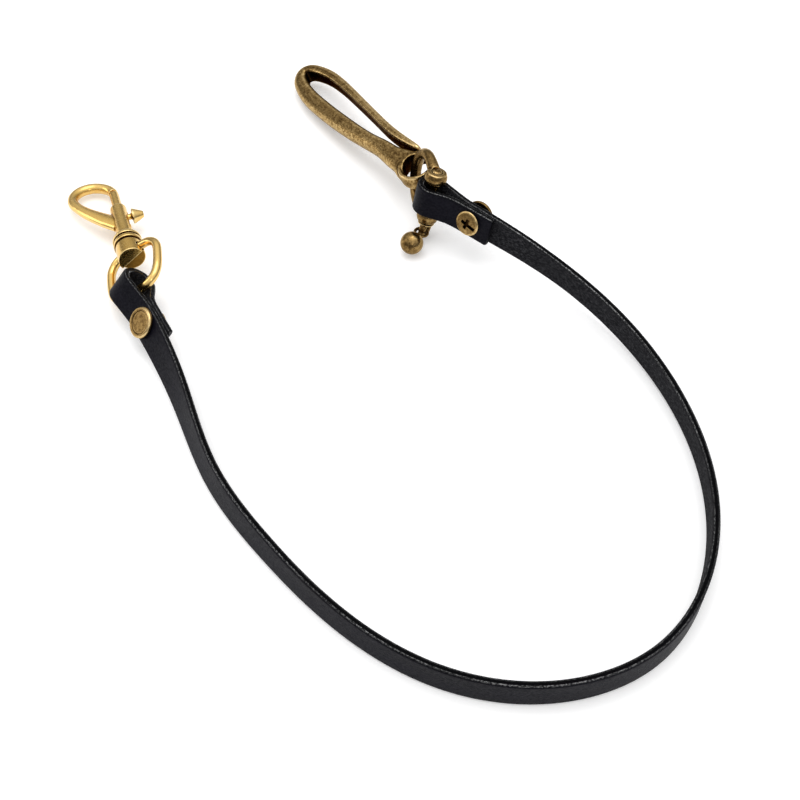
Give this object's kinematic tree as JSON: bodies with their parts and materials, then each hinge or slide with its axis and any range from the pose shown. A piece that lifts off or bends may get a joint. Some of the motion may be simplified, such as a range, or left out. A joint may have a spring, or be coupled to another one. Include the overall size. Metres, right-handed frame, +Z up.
{
  "type": "leather key lanyard",
  "caption": "Black leather key lanyard strap with a brass bolt snap hanging from a D-ring at one end and an antique brass shackle with a long pocket hook at the other.",
  "frame": {"origin": "centre of the footprint of the lanyard as it lies, on the surface it lies on", "axes": "+Z up off that surface, +Y from the bend of the strap towards the long hook, +X from the bolt snap's side towards the bare side of the bend"},
  "size_m": [0.2054, 0.2591, 0.0261],
  "materials": {
    "black_leather": "smooth black vegetable-tanned leather with burnished edges, suede flesh side",
    "bright_brass": "satin polished brass",
    "antique_brass": "antiqued brass, dark patina worn bright on the edges",
    "spring_steel": "bright drawn wire"
  },
  "bodies": {
    "strap": {"leather_strap": "black_leather", "left_post": "antique_brass", "left_screw": "antique_brass", "right_post": "antique_brass", "right_screw": "antique_brass"},
    "ring": {"d_ring": "bright_brass"},
    "swivel": {"swivel_eye": "bright_brass"},
    "snap": {"snap_body": "bright_brass", "bolt_spring": "spring_steel"},
    "bolt": {"snap_bolt": "bright_brass", "thumb_knob": "bright_brass"},
    "shackle": {"shackle_bow": "antique_brass", "shackle_pin": "antique_brass"},
    "hook": {"fish_hook": "antique_brass"},
    "link": {"jump_ring": "antique_brass"},
    "ball": {"ball_drop": "antique_brass"}
  },
  "joints": [
    {"name": "ring_swing", "type": "hinge", "parent": "strap", "child": "ring", "pos_m": [-0.07198, 0.00737, 0.00885], "axis": [0.602, 0.2694, 0.7517], "range_deg": [-45, 1]},
    {"name": "swivel_tilt", "type": "hinge", "parent": "ring", "child": "swivel", "pos_m": [-0.07545, 0.02512, 0.00988], "axis": [0.8132, 0.1034, 0.5727], "range_deg": [-75, 75]},
    {"name": "snap_swivel", "type": "hinge", "parent": "swivel", "child": "snap", "pos_m": [-0.07732, 0.03074, 0.00892], "axis": [-0.3119, 0.9366, -0.1599], "continuous": true},
    {"name": "bolt_slide", "type": "slide", "parent": "snap", "child": "bolt", "axis": [0.3119, -0.9366, 0.1599], "range_m": [0, 0.005], "stiffness_N_per_m": 250, "springref_m": -0.002, "deforming": ["bolt_spring"]},
    {"name": "shackle_swing", "type": "hinge", "parent": "strap", "child": "shackle", "pos_m": [0.02372, 0.04547, 0.01603], "axis": [0.1701, 0.1701, 0.9706], "range_deg": [-75, 75]},
    {"name": "hook_swing", "type": "hinge", "parent": "shackle", "child": "hook", "pos_m": [0.01877, 0.06264, 0.01389], "axis": [0.1701, 0.1701, 0.9706], "range_deg": [-45, 42]},
    {"name": "link_swing", "type": "hinge", "parent": "shackle", "child": "link", "pos_m": [0.02151, 0.04326, 0.00342], "axis": [0.8734, -0.4822, -0.0685], "range_deg": [-15, 30]},
    {"name": "ball_swing", "type": "hinge", "parent": "link", "child": "ball", "pos_m": [0.01927, 0.03913, 0.00397], "axis": [0.8734, -0.4822, -0.0685], "range_deg": [-25, 40]}
  ]
}
